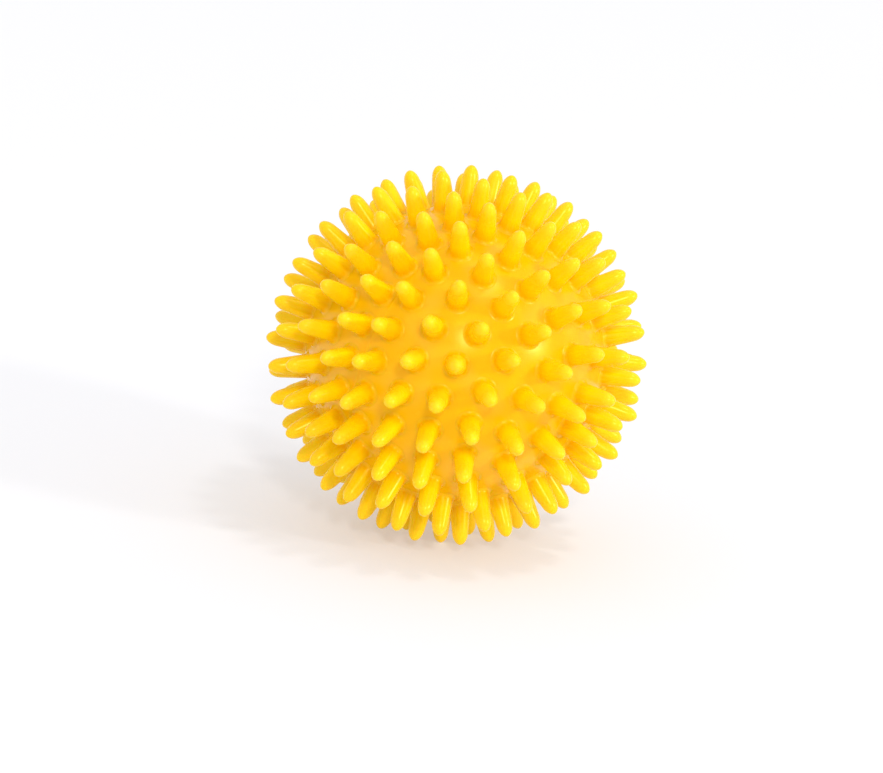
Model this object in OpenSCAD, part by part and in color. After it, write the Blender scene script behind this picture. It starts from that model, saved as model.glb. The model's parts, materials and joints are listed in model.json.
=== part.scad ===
// Spiky massage ball: a hollow ball of soft PVC with rings of blunt rubber spikes
// all over it, an air valve at one pole, and a plug that pulls out of the valve.
// It lies on a flat floor, standing on the tips of four neighbouring spikes.
// The floor is z = 0, and the ball's centre is straight above the origin.

/* [Ball] */
// Diameter over the tips of the spikes
ball_d = 80; // [76:1:84]
// Length of a spike, from the shell to its tip
spike_len = 8.4; // [7:0.1:9]
// Thickness of the shell
wall = 2.2; // [1.6:0.1:3]

/* [Spikes] */
// Radius of the round tip of a spike
tip_r = 1.4; // [1.1:0.05:1.5]
// Radius of a spike where it would meet the shell, without its flared foot
foot_r = 2.3; // [2:0.05:2.4]
// Radius of the fillet between a spike and the shell
fillet_r = 0.9; // [0.5:0.1:0.9]

/* [Valve] */
// Radius of the hole in the shell that the valve seat fills
seat_r = 4.2; // [4:0.1:4.4]
// Radius of the flange inside the shell
flange_r = 7; // [6:0.5:9]
// Thickness of the flange at its middle
flange_t = 1.4; // [1:0.1:2]
// How far the seat's tube reaches into the ball, from the outside of the shell
seat_len = 10; // [8:0.5:13]
// Outside radius of the tube inside the ball
tube_r = 3.2; // [3:0.1:3.6]
// Radius of the air hole through the seat
bore_r = 1.8; // [1.5:0.1:2]
// Radius of the recess that the plug's head lies in
recess_r = 3.4; // [3:0.1:3.6]
// Depth of the recess, from the outside of the shell
recess_deep = 1.2; // [1:0.1:1.5]

/* [Plug] */
// Gap between the plug and the seat, all round
plug_gap = 0.05; // [0.03:0.01:0.1]
// How far the plug's head stands out of the shell at its middle
head_proud = 0.5; // [0.3:0.1:0.8]
// Length of the plug's stem below its head
stem_len = 7.6; // [6:0.2:8]
// Depth of the groove round the stem
groove_deep = 0.25; // [0.1:0.05:0.4]

/* [Resting pose] */
// Direction in which the plain pole points, seen from above, in degrees from +X
heading = -38.75; // [-180:0.25:180]

/* [Hidden] */
RINGS = [0:5];
$fn = 48;

// Number of spikes in each ring, from the seam line at the middle to the pole
ring_count = [27, 25, 22, 18, 12, 6];
// Latitude of each ring, in degrees, the same on both halves of the ball
ring_lat = [5.8, 19.6, 33.4, 47.2, 62, 76.5];
// Longitude of the middle of one gap in each ring of the plain half, in degrees
plain_turn = [91, 91, 99, 91, 108, 102];
// Longitude of the middle of one gap in each ring of the half with the valve
valve_turn = [82, 85, 90.5, 86, 95, 95];

ball_r = ball_d / 2;
shell_r = ball_r - spike_len;
inner_r = shell_r - wall;
tip_centre = ball_r - tip_r;   // the centre of a tip's round end, from the ball's centre
lip = 0.15;                    // height of the edge of a spike's foot

// A spike's side is straight. Its slope, and its radius extended down to the ball's centre:
// the side passes a little inside the round tip and the fillet, so that it cuts both cleanly.
cross_share = 0.985;
side_slope = (foot_r - tip_r) / (tip_centre - shell_r);
side_angle = atan(side_slope);
centre_r = cross_share * tip_r / cos(side_angle) + side_slope * tip_centre;

// Centre of the fillet, which meets the spike's side and stands a lip above the shell.
fillet_far = shell_r + lip + fillet_r;
fillet_x0 = centre_r + cross_share * fillet_r / cos(side_angle);
fillet_z = (fillet_x0 * side_slope + sqrt(pow(fillet_x0 * side_slope, 2)
    - (1 + pow(side_slope, 2)) * (pow(fillet_x0, 2) - pow(fillet_far, 2))))
    / (1 + pow(side_slope, 2));
lip_angle = asin(fillet_z / fillet_far);

function direction(lat, lon) = [cos(lat) * cos(lon), cos(lat) * sin(lon), sin(lat)];

// Four neighbouring tips carry the ball: two of ring 1 and two of ring 2, on either
// side of the same gap. Their plane is at right angles to stand_dir.
gap_lon = plain_turn[0];
stand_a = direction(ring_lat[0], gap_lon - 180 / ring_count[0]);
stand_b = direction(ring_lat[0], gap_lon + 180 / ring_count[0]);
stand_c = direction(ring_lat[1], gap_lon + 180 / ring_count[1]);
stand_n = cross(stand_b - stand_a, stand_c - stand_a);
stand_dir = stand_n * sign(stand_n * stand_a) / norm(stand_n);
stand_lat = asin(stand_dir[2]);
rest_height = tip_centre * (stand_dir * stand_a) + tip_r;

// Turns the ball from its own axis, pole to pole along Z, to the way it lies.
module as_it_lies() {
    translate([0, 0, rest_height])
        rotate([0, 90 + stand_lat, heading])
            rotate([0, 0, -gap_lon])
                children();
}

// Half of a spike's outline: x is the distance from its axis, y that from the ball's centre.
module spike_outline() {
    foot = [cos(lip_angle), sin(lip_angle)];
    difference() {
        union() {
            // Straight side
            polygon([
                [0, inner_r],
                [centre_r - side_slope * inner_r, inner_r],
                [centre_r - side_slope * tip_centre, tip_centre],
                [0, tip_centre]
            ]);
            // Round tip
            intersection() {
                translate([0, tip_centre]) circle(tip_r);
                translate([0, tip_centre - tip_r]) square([tip_r, 2 * tip_r]);
            }
            // Flared foot
            difference() {
                polygon([[0, inner_r], foot * inner_r, foot * fillet_far, [0, fillet_z]]);
                translate(foot * fillet_far) circle(fillet_r);
            }
        }
        circle(shell_r, $fn = 400);
    }
}

module spike(lat, lon) {
    rotate([0, 90 - lat, lon]) rotate_extrude() spike_outline();
}

// One ring of spikes. side is 1 on the plain half and -1 on the half with the valve.
module spike_ring(i, side) {
    turn = side > 0 ? plain_turn[i] : valve_turn[i];
    step = 360 / ring_count[i];
    color("gold")
        as_it_lies()
            for (k = [1:ring_count[i]])
                spike(side * ring_lat[i], turn + (k - 0.5) * step);
}

module spike_pole() {
    color("gold") as_it_lies() spike(90, 0);
}

module shell() {
    color("orange")
        as_it_lies()
            difference() {
                sphere(shell_r, $fn = 96);
                sphere(inner_r, $fn = 96);
                translate([0, 0, -ball_r]) cylinder(h = ball_r, r = seat_r);
            }
}

// The valve and the plug are drawn pointing up, and then turned to the pole at -Z.
module at_valve() {
    as_it_lies() rotate([180, 0, 0]) children();
}

module valve_seat() {
    color("goldenrod")
        at_valve()
            difference() {
                union() {
                    intersection() {
                        sphere(shell_r, $fn = 96);
                        translate([0, 0, inner_r - flange_t]) cylinder(h = ball_r, r = seat_r);
                    }
                    intersection() {
                        sphere(inner_r, $fn = 96);
                        translate([0, 0, inner_r - flange_t]) cylinder(h = ball_r, r = flange_r);
                    }
                    translate([0, 0, shell_r - seat_len])
                        cylinder(h = seat_len - wall, r = tube_r);
                }
                cylinder(h = ball_r, r = bore_r);
                translate([0, 0, shell_r - recess_deep]) cylinder(h = ball_r, r = recess_r);
            }
}

module valve_plug() {
    head_r = recess_r - plug_gap;
    stem_r = bore_r - plug_gap;
    seat_z = shell_r - recess_deep;
    head_h = recess_deep + head_proud;
    dome_r = (pow(head_r, 2) + pow(head_proud, 2)) / (2 * head_proud);
    color("ivory")
        at_valve()
            rotate_extrude()
                difference() {
                    union() {
                        // Head: a flat disc under a shallow dome
                        intersection() {
                            translate([0, seat_z]) square([head_r, head_h]);
                            translate([0, seat_z + head_h - dome_r]) circle(dome_r, $fn = 200);
                        }
                        // Stem with a round nose
                        translate([0, seat_z - stem_len + stem_r])
                            square([stem_r, stem_len - stem_r]);
                        intersection() {
                            translate([0, seat_z - stem_len + stem_r]) circle(stem_r);
                            translate([0, seat_z - stem_len]) square(stem_r);
                        }
                    }
                    // Groove round the stem
                    translate([stem_r, seat_z - stem_len / 2]) circle(groove_deep);
                }
}

shell();
valve_seat();
valve_plug();
spike_pole();
for (i = RINGS) spike_ring(i, 1);
for (i = RINGS) spike_ring(i, -1);
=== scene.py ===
"""Spiky massage ball: the looks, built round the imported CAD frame. Metres, same frame as the CAD.

The CAD nodes say where everything is: the shell's box gives the ball's centre and radius, each
ring's solids give its spikes' directions, and the plug's joint gives the valve's axis.
"""

import json
import math
import random

import bmesh
import bpy
import numpy as np
from mathutils import Matrix, Vector, noise


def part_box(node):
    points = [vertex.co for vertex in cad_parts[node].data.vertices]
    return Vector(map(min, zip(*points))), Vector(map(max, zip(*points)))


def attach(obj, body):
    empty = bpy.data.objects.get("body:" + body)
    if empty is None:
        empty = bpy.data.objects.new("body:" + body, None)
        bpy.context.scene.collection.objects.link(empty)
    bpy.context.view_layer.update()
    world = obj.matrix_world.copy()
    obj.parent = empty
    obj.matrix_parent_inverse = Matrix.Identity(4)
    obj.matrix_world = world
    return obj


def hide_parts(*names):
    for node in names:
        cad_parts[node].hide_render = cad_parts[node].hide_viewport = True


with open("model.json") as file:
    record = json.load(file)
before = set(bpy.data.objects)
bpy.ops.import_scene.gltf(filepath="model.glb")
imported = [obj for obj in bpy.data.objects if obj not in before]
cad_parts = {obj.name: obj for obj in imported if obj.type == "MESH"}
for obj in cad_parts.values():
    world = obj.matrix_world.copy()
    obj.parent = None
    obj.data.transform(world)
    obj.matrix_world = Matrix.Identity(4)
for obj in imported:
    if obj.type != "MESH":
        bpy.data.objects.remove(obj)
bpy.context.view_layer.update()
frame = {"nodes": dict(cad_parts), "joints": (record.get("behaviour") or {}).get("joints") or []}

MM = 0.001
HALVES = ("plain", "valve")
RINGS_PER_HALF = 6
SPIKE_NODES = [f"spikes_{half}_{i}" for half in HALVES for i in range(1, RINGS_PER_HALF + 1)]
SPIKE_NODES.append("spike_pole")

# ---------------------------------------------------------------- places, from the frame

shell_low, shell_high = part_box("shell")
CENTRE = (shell_low + shell_high) / 2
SHELL_R = (shell_high - shell_low).z / 2
INNER_R = SHELL_R - 2.2 * MM  # the shell's wall is 2.2 mm thick
TIP_R = max((v.co - CENTRE).length for v in frame["nodes"]["spike_pole"].data.vertices)
VALVE_AXIS = Vector(frame["joints"][0]["axis"]).normalized()


def solids_of(node):
    """The separate solids of a CAD node, each as an array of its triangles' corners."""
    mesh = frame["nodes"][node].data
    mesh.calc_loop_triangles()
    places = np.array([v.co for v in mesh.vertices])
    _, same = np.unique(np.round(places, 6), axis=0, return_inverse=True)
    same = same.reshape(-1)
    parent = list(range(same.max() + 1))

    def root(i):
        while parent[i] != i:
            parent[i] = parent[parent[i]]
            i = parent[i]
        return i

    triangles = np.array([t.vertices for t in mesh.loop_triangles])
    for a, b, c in same[triangles]:
        parent[root(a)] = root(b)
        parent[root(b)] = root(c)
    owner = np.array([root(same[t[0]]) for t in triangles])
    return [places[triangles[owner == o]] for o in np.unique(owner)]


def spike_directions(node):
    """The direction from the ball's centre along each spike of a CAD node."""
    found = []
    for corners in solids_of(node):
        sides = np.cross(corners[:, 1] - corners[:, 0], corners[:, 2] - corners[:, 0])
        areas = np.linalg.norm(sides, axis=1)
        middle = (corners.mean(axis=1) * areas[:, None]).sum(axis=0) / areas.sum()
        found.append((Vector(middle) - CENTRE).normalized())
    found.sort(key=lambda d: (round(d.z, 4), round(d.x, 4), round(d.y, 4)))
    return found


# ---------------------------------------------------------------- mesh helpers


def turned_to(axis):
    """A rotation that takes +Z to axis."""
    return Vector((0, 0, 1)).rotation_difference(axis).to_matrix()


def ring_point(radius, height, angle):
    """A point of a round shape whose axis is Z."""
    return Vector((radius * math.cos(angle), radius * math.sin(angle), height))


def add_lathe(bm, profile, steps, place, ring=False):
    """Revolves profile, a list of (radius, height), and puts each point where place says.

    place(radius, height, angle) gives a point. A first or last point of radius 0 closes the end,
    and ring joins the last point to the first, for a piece with a hole through it.
    """
    rows = []
    for radius, height in profile:
        if radius <= 0:
            rows.append([bm.verts.new(place(0.0, height, 0.0))])
            continue
        angles = [2 * math.pi * k / steps for k in range(steps)]
        rows.append([bm.verts.new(place(radius, height, a)) for a in angles])
    for low, high in zip(rows, rows[1:] + rows[:1] if ring else rows[1:]):
        for k in range(steps):
            after = (k + 1) % steps
            corners = [low[k % len(low)], low[after % len(low)]]
            corners += [high[after % len(high)], high[k % len(high)]]
            face = list(dict.fromkeys(corners))
            if len(face) > 2:
                bm.faces.new(face)


def rounded(corners, steps=5):
    """A profile through corners, a list of (radius, height, rounding) in mm, with soft edges."""
    points = []
    for k, (x, y, soft) in enumerate(corners):
        if x == 0 or soft == 0:
            points.append((x * MM, y * MM))
            continue
        ends = []
        for other in (corners[k - 1], corners[(k + 1) % len(corners)]):
            share = min(soft / math.hypot(other[0] - x, other[1] - y), 0.5)
            ends.append((x + (other[0] - x) * share, y + (other[1] - y) * share))
        for j in range(steps + 1):
            t = j / steps
            mix = [
                (1 - t) ** 2 * a + 2 * t * (1 - t) * c + t * t * b
                for a, c, b in zip(ends[0], (x, y), ends[1])
            ]
            points.append((mix[0] * MM, mix[1] * MM))
    return points


def new_piece(name, bm, material, body, replaced):
    """Turns a bmesh into a smooth shaded piece that stands for CAD nodes."""
    bmesh.ops.recalc_face_normals(bm, faces=bm.faces)
    mesh = bpy.data.meshes.new(name)
    bm.to_mesh(mesh)
    bm.free()
    mesh.polygons.foreach_set("use_smooth", [True] * len(mesh.polygons))
    piece = bpy.data.objects.new(name, mesh)
    bpy.context.scene.collection.objects.link(piece)
    mesh.materials.append(material)
    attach(piece, body)
    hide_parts(*replaced)
    return piece


# ---------------------------------------------------------------- materials

PAINTED_SHEEN_PEACH = (0.98, 0.52, 0.06)  # paler peach patches: painted sheen of the shell's gloss
SIDES_AT = 0.35  # share of a spike's length above the shell where its sides have their own colour


def drifting(tree, scale, detail, low=0.0, high=1.0, start=0.0, end=1.0):
    """A value that drifts over the piece: noise from start to end becomes low to high."""
    place = tree.nodes.new("ShaderNodeTexCoord")
    spots = tree.nodes.new("ShaderNodeTexNoise")
    spots.inputs["Scale"].default_value = scale
    spots.inputs["Detail"].default_value = detail
    tree.links.new(place.outputs["Object"], spots.inputs["Vector"])
    stretch = tree.nodes.new("ShaderNodeMapRange")
    stretch.inputs["From Min"].default_value = start
    stretch.inputs["From Max"].default_value = end
    stretch.inputs["To Min"].default_value = low
    stretch.inputs["To Max"].default_value = high
    tree.links.new(spots.outputs["Fac"], stretch.inputs["Value"])
    return stretch.outputs["Result"]


def colour_by_height(tree, tips, sides, roots):
    """A colour that changes with the distance from the ball's centre, from the shell to the tips; a
    deeper colour at the shell is painted shade of the crevices between the spikes.
    """
    place = tree.nodes.new("ShaderNodeTexCoord")
    away = tree.nodes.new("ShaderNodeVectorMath")
    away.operation = "DISTANCE"
    away.inputs[1].default_value = CENTRE
    tree.links.new(place.outputs["Object"], away.inputs[0])
    height = tree.nodes.new("ShaderNodeMapRange")
    height.inputs["From Min"].default_value = SHELL_R
    height.inputs["From Max"].default_value = TIP_R
    tree.links.new(away.outputs["Value"], height.inputs["Value"])
    ramp = tree.nodes.new("ShaderNodeValToRGB")
    ramp.color_ramp.elements[0].color = (*roots, 1)
    ramp.color_ramp.elements[1].color = (*tips, 1)
    ramp.color_ramp.elements.new(SIDES_AT).color = (*sides, 1)
    tree.links.new(height.outputs["Result"], ramp.inputs["Fac"])
    return ramp.outputs["Color"]


def pvc(name, tips, sides, roots, gloss, glare, bump_mm, painted_sheen_share=0.0):
    """Glossy soft PVC with a colour at the tips, on the sides and between the spikes, where a deeper
    colour is painted shade of the crevices.

    glare tints the reflections, and the last argument is how strongly the paler peach patches show,
    which are painted sheen of the shell's gloss.
    """
    material = bpy.data.materials.new(name)
    material.use_nodes = True
    tree = material.node_tree
    shader = tree.nodes["Principled BSDF"]

    patchy = tree.nodes.new("ShaderNodeHueSaturation")
    tree.links.new(drifting(tree, 90, 3, low=0.93, high=1.05), patchy.inputs["Value"])
    tree.links.new(colour_by_height(tree, tips, sides, roots), patchy.inputs["Color"])
    # paler peach patches mixed in at random places: painted sheen of the glossy shell
    painted_sheen_mix = tree.nodes.new("ShaderNodeMix")
    painted_sheen_mix.data_type = "RGBA"
    painted_sheen_mix.inputs["B"].default_value = (*PAINTED_SHEEN_PEACH, 1)
    patches = drifting(tree, 120, 1, high=painted_sheen_share, start=0.5, end=0.68)
    tree.links.new(patches, painted_sheen_mix.inputs["Factor"])
    tree.links.new(patchy.outputs["Color"], painted_sheen_mix.inputs["A"])
    tree.links.new(painted_sheen_mix.outputs["Result"], shader.inputs["Base Color"])

    rough = drifting(tree, 260, 4, low=gloss - 0.05, high=gloss + 0.07)
    tree.links.new(rough, shader.inputs["Roughness"])

    bump = tree.nodes.new("ShaderNodeBump")
    bump.inputs["Distance"].default_value = bump_mm * MM
    bump.inputs["Strength"].default_value = 0.68
    tree.links.new(drifting(tree, 700, 2), bump.inputs["Height"])
    tree.links.new(bump.outputs["Normal"], shader.inputs["Normal"])

    shader.inputs["IOR"].default_value = 1.5
    shader.inputs["Specular IOR Level"].default_value = 0.5
    shader.inputs["Specular Tint"].default_value = (*glare, 1)
    shader.inputs["Subsurface Weight"].default_value = 0.35
    shader.inputs["Subsurface Radius"].default_value = (1.0, 0.5, 0.05)
    shader.inputs["Subsurface Scale"].default_value = 0.9 * MM
    return material


# orange of the shell and the spikes' roots, made deeper than the spikes' yellow as painted shade of
# the crevices between the spikes
CREVICE_SHADE_GOLD = (0.90, 0.48, 0.0)
YELLOW = (0.98, 0.66, 0.0)
TIP_YELLOW = (0.98, 0.61, 0.01)  # a little deeper, because the tips catch the most light
IVORY = (0.85, 0.83, 0.76)
DEEP_IVORY = (0.82, 0.80, 0.72)

# the spikes' roots take the shell's deeper orange: painted shade where they meet the shell
SPIKE_PVC = pvc("spike_pvc", TIP_YELLOW, YELLOW, CREVICE_SHADE_GOLD, 0.26, (1.0, 0.92, 0.28), 0.03)
SHELL_PVC = pvc("shell_pvc", CREVICE_SHADE_GOLD, CREVICE_SHADE_GOLD, CREVICE_SHADE_GOLD, 0.24, (1.0, 0.88, 0.19), 0.02, painted_sheen_share=0.3)
PLUG_PVC = pvc("plug_pvc", IVORY, IVORY, DEEP_IVORY, 0.3, (1.0, 1.0, 1.0), 0.02)

# ---------------------------------------------------------------- spikes

SPIKE_STEPS = 32
TIP_ROWS = 10
SIDE_ROWS = 6
FLARE_ROWS = 7
TIP_WIDE = 1.42 * MM  # radius that the oval tip adds
TIP_LONG = 2.35 * MM  # how far down the spike the oval tip reaches
TAPER = 0.103  # how much the radius grows for each mm down the straight side
FLARE = 0.75 * MM  # fillet where the side meets the shell
FLARE_START = 6  # degrees; the side already leans this much there
APRON_WIDE = 0.15 * MM  # the last of the flare, which runs just under the shell's surface
APRON_DEEP = 0.03 * MM
SUNK = 0.35 * MM  # how deep a spike's closed end lies inside the shell
LEAN = math.radians(1.2)  # the usual lean and bend of one spike, and how much its length varies
BEND = 0.10 * MM
SHORTEST = -0.012
LONGEST = 0.004
UNEVEN_HIGH = 0.05 * MM  # how far the soft shell is out of round
UNEVEN_SCALE = 140  # in waves per metre, roughly


def uneven(point):
    """How far the soft shell's surface is out of round at a point seen from the ball's centre."""
    return noise.noise(point.normalized() * SHELL_R * UNEVEN_SCALE) * UNEVEN_HIGH


def spike_radius(down):
    """A spike's radius at a distance down from its tip: an oval end on a straight taper."""
    share = min(down / TIP_LONG, 1)
    return TIP_WIDE * math.sqrt(1 - (1 - share) ** 2) + TAPER * down


def spike_profile(length):
    """(radius, height above the shell) from the tip down to where the flare runs into the shell."""
    points = [(0.0, length)]
    downs = [TIP_LONG * (k / TIP_ROWS) ** 2 for k in range(1, TIP_ROWS + 1)]
    side_long = length - FLARE - TIP_LONG
    downs += [TIP_LONG + side_long * k / SIDE_ROWS for k in range(1, SIDE_ROWS + 1)]
    points += [(spike_radius(down), length - down) for down in downs]
    side = points[-1][0]
    first = math.radians(FLARE_START)
    for k in range(1, FLARE_ROWS + 1):
        turn = first + (math.pi / 2 - first) * k / FLARE_ROWS
        drop = (math.sin(turn) - math.sin(first)) / (1 - math.sin(first))
        points.append((side + FLARE * (math.cos(first) - math.cos(turn)), FLARE * (1 - drop)))
    rim = points[-1][0] + APRON_WIDE
    return points + [(rim, -APRON_DEEP), (rim, -SUNK), (0.0, -SUNK)]


def add_spike(bm, direction, draws):
    """One spike with its own small lean, bend and length, as soft moulded spikes have."""
    full = TIP_R - SHELL_R
    lean = Vector((draws.gauss(0, 1), draws.gauss(0, 1), 0)) * LEAN
    bend = Vector((draws.gauss(0, 1), draws.gauss(0, 1), 0)) * BEND
    length = full * (1 + draws.uniform(SHORTEST, LONGEST))
    turn = turned_to(direction)

    def place(radius, height, angle):
        share = max(height, 0) / full
        off_axis = ring_point(radius, 0, angle) + lean * max(height, 0) + bend * share * share
        # the shell is round, so a point off the axis lies lower
        dip = SHELL_R - math.sqrt(SHELL_R**2 - radius**2)
        p = turn @ (off_axis + Vector((0, 0, SHELL_R + height - dip * (1 - share) ** 2)))
        return CENTRE + p + p.normalized() * uneven(p) * (1 - share) ** 2

    add_lathe(bm, spike_profile(length), SPIKE_STEPS, place)


def spike_piece(node, seed):
    """All the spikes of one CAD node."""
    draws = random.Random(seed)
    bm = bmesh.new()
    for direction in spike_directions(node):
        add_spike(bm, direction, draws)
    new_piece("moulded_" + node, bm, SPIKE_PVC, "ball", [node])


FIRST_SEED = 100
for number, node in enumerate(SPIKE_NODES):
    spike_piece(node, FIRST_SEED + number)

# ---------------------------------------------------------------- shell

SHELL_STEPS = 220
SHELL_ROWS = 120
HOLE_R = 4.2 * MM  # radius of the hole that the valve seat fills
SEAM_HIGH = 0.06 * MM  # the fine ridge where the mould's halves met, between the two first rings
SEAM_WIDE = 0.25 * MM
SEAM_ROWS = [0.2 * MM * k for k in range(-3, 4)]  # extra rows of the mesh beside the ridge


def shell_piece():
    """The hollow ball: outside, the wall of the valve's hole, and inside, as one closed surface."""
    rim_out = math.asin(HOLE_R / SHELL_R)
    rim_in = math.asin(HOLE_R / INNER_R)
    turns = [math.pi + (rim_out - math.pi) * k / SHELL_ROWS for k in range(SHELL_ROWS + 1)]
    turns += [math.pi / 2 + off / SHELL_R for off in SEAM_ROWS]
    profile = []
    for a in sorted(turns, reverse=True):
        off_seam = (a - math.pi / 2) * SHELL_R / SEAM_WIDE
        r = SHELL_R + SEAM_HIGH * math.exp(-off_seam * off_seam)
        profile.append((r * math.sin(a), r * math.cos(a)))
    for k in range(SHELL_ROWS + 1):
        a = rim_in + (math.pi - rim_in) * k / SHELL_ROWS
        profile.append((INNER_R * math.sin(a), INNER_R * math.cos(a)))
    profile[0] = (0.0, -SHELL_R)
    profile[-1] = (0.0, -INNER_R)
    turn = turned_to(VALVE_AXIS)

    def place(radius, height, angle):
        p = turn @ ring_point(radius, height, angle)
        return CENTRE + p + p.normalized() * uneven(p)

    bm = bmesh.new()
    add_lathe(bm, profile, SHELL_STEPS, place)
    new_piece("moulded_shell", bm, SHELL_PVC, "ball", ["shell"])


shell_piece()

# ---------------------------------------------------------------- valve

ROUND_STEPS = 72
# (radius, height above the ball's centre, rounding), all in mm
SEAT_CORNERS = [
    # rim
    (4.18, 31.30, 0),
    (3.98, 31.36, 0.1),
    (3.94, 31.72, 0.25),
    (3.5, 31.74, 0.2),
    # recess for the plug's head, and air hole
    (3.42, 30.4, 0.3),
    (1.83, 30.4, 0.25),
    (1.83, 21.6, 0.3),
    # tube and flange
    (3.2, 21.6, 0.4),
    (3.2, 28.0, 0.9),
    (6.95, 28.0, 0.3),
    (6.98, 28.52, 0.15),
    (5.6, 28.84, 0),
    (4.22, 29.08, 0),
    (4.18, 29.12, 0),
]
PLUG_CORNERS = [
    # domed head with a fine ring on it
    (0, 31.98, 0),
    (0.8, 32.07, 0.3),
    (2.2, 31.96, 0.15),
    (2.32, 31.84, 0.08),
    (2.44, 31.92, 0.1),
    (3.34, 31.66, 0.5),
    (3.34, 30.46, 0.25),
    # stem with a groove and a round nose
    (1.74, 30.46, 0.15),
    (1.74, 26.95, 0.15),
    (1.5, 26.6, 0.2),
    (1.74, 26.25, 0.15),
    (1.7, 22.84, 1.6),
    (0, 22.84, 0),
]
NAIL_NOTCH = math.radians(13)  # half the width of the notch in the head's edge
NOTCH_DEEP = 0.55 * MM
NOTCH_FROM = 2.5 * MM  # radius where the notch starts, and where it is at its full depth
NOTCH_FULL = 3.34 * MM
NOTCH_ABOVE = 30.9 * MM  # the notch moves only what is higher than this


def plain(radius, height, angle):
    """A round shape as it is."""
    return radius, height


def notched(radius, height, angle):
    """A notch for a fingernail in the edge of the plug's head."""
    across = math.remainder(angle - math.pi, 2 * math.pi) / NAIL_NOTCH
    reach = (radius - NOTCH_FROM) / (NOTCH_FULL - NOTCH_FROM) if height > NOTCH_ABOVE else 0.0
    share = min(max(reach, 0.0), 1)
    return radius, height - NOTCH_DEEP * share * math.exp(-(across**4))


def valve_place(shape):
    """place() for a lathe on the valve's axis; shape may move a point before it is turned."""
    turn = turned_to(VALVE_AXIS)

    def place(radius, height, angle):
        radius, height = shape(radius, height, angle)
        return CENTRE + turn @ ring_point(radius, height, angle)

    return place


def valve_pieces():
    """The valve seat and the plug."""
    bm = bmesh.new()
    add_lathe(bm, rounded(SEAT_CORNERS), ROUND_STEPS, valve_place(plain), ring=True)
    new_piece("moulded_valve_seat", bm, SHELL_PVC, "ball", ["valve_seat"])
    bm = bmesh.new()
    add_lathe(bm, rounded(PLUG_CORNERS), ROUND_STEPS, valve_place(notched))
    new_piece("moulded_valve_plug", bm, PLUG_PVC, "plug", ["valve_plug"])


valve_pieces()

# ---------------------------------------------------------------- floor and light

FLOOR_HALF = 6.0


def lit_table():
    """A white table that glows a little, as one lit from below does, so shadows stay pale."""
    material = bpy.data.materials.new("table_white")
    material.use_nodes = True
    shader = material.node_tree.nodes["Principled BSDF"]
    shader.inputs["Base Color"].default_value = (0.55, 0.55, 0.57, 1)
    shader.inputs["Roughness"].default_value = 0.8
    shader.inputs["Specular IOR Level"].default_value = 0.1
    shader.inputs["Emission Color"].default_value = (0.98, 0.98, 1, 1)
    shader.inputs["Emission Strength"].default_value = 0.34
    return material


def floor_piece():
    """The flat pale floor that the ball stands on."""
    mesh = bpy.data.meshes.new("floor")
    signs = [(-1, -1), (1, -1), (1, 1), (-1, 1)]
    mesh.from_pydata([(x * FLOOR_HALF, y * FLOOR_HALF, 0) for x, y in signs], [], [(0, 1, 2, 3)])
    floor = bpy.data.objects.new("floor", mesh)
    bpy.context.scene.collection.objects.link(floor)
    mesh.materials.append(lit_table())


def soft_box(name, azimuth, elevation, distance, size, watts):
    """A square light that faces the ball. Azimuth 0 is on the camera's side, 90 to the right."""
    a, e = math.radians(azimuth), math.radians(elevation)
    away = Vector((math.sin(a) * math.cos(e), -math.cos(a) * math.cos(e), math.sin(e)))
    data = bpy.data.lights.new(name, "AREA")
    data.shape = "SQUARE"
    data.size = size
    data.energy = watts
    lamp = bpy.data.objects.new(name, data)
    bpy.context.scene.collection.objects.link(lamp)
    lamp.location = CENTRE + away * distance
    lamp.rotation_mode = "QUATERNION"
    lamp.rotation_quaternion = (-away).to_track_quat("-Z", "Y")


def white_room():
    """Even white light from all round."""
    world = bpy.data.worlds.new("studio")
    bpy.context.scene.world = world
    world.use_nodes = True
    background = world.node_tree.nodes["Background"]
    background.inputs["Color"].default_value = (1, 1, 1, 1)
    background.inputs["Strength"].default_value = 0.88


floor_piece()
soft_box("key", 65, 20, 4.5, 0.5, 62.0)
soft_box("fill", 8, 30, 5.0, 0.5, 66.0)
soft_box("top", 55, 70, 4.5, 0.5, 28.0)
white_room()
bpy.context.scene.view_settings.view_transform = "Standard"

# ---------------------------------------------------------------- camera

LENS_MM = 148.8
CAMERA_FAR = 0.765
CAMERA_ELEVATION = math.radians(16.05)
CAMERA_ROLL = math.radians(6.15)  # anticlockwise as the camera sees it
AIM_RIGHT = -3.1 * MM  # where the middle of the picture lies from the ball's centre
AIM_UP = -6.6 * MM


def photo_camera():
    """A camera in front of the ball, looking down on it a little and slightly turned."""
    e, roll = CAMERA_ELEVATION, CAMERA_ROLL
    back = Vector((0, -math.cos(e), math.sin(e)))
    level_right, level_up = Vector((1, 0, 0)), Vector((0, math.sin(e), math.cos(e)))
    right = level_right * math.cos(roll) + level_up * math.sin(roll)
    up = level_up * math.cos(roll) - level_right * math.sin(roll)
    camera = bpy.data.objects.new("camera", bpy.data.cameras.new("camera"))
    bpy.context.scene.collection.objects.link(camera)
    camera.data.lens = LENS_MM
    camera.data.clip_start = 0.01
    camera.location = CENTRE + back * CAMERA_FAR
    toward = (CENTRE + right * AIM_RIGHT + up * AIM_UP - camera.location).normalized()
    side = toward.cross(up).normalized()
    lifted = side.cross(toward)
    camera.rotation_mode = "QUATERNION"
    camera.rotation_quaternion = Matrix((side, lifted, -toward)).transposed().to_quaternion()
    bpy.context.scene.camera = camera


photo_camera()
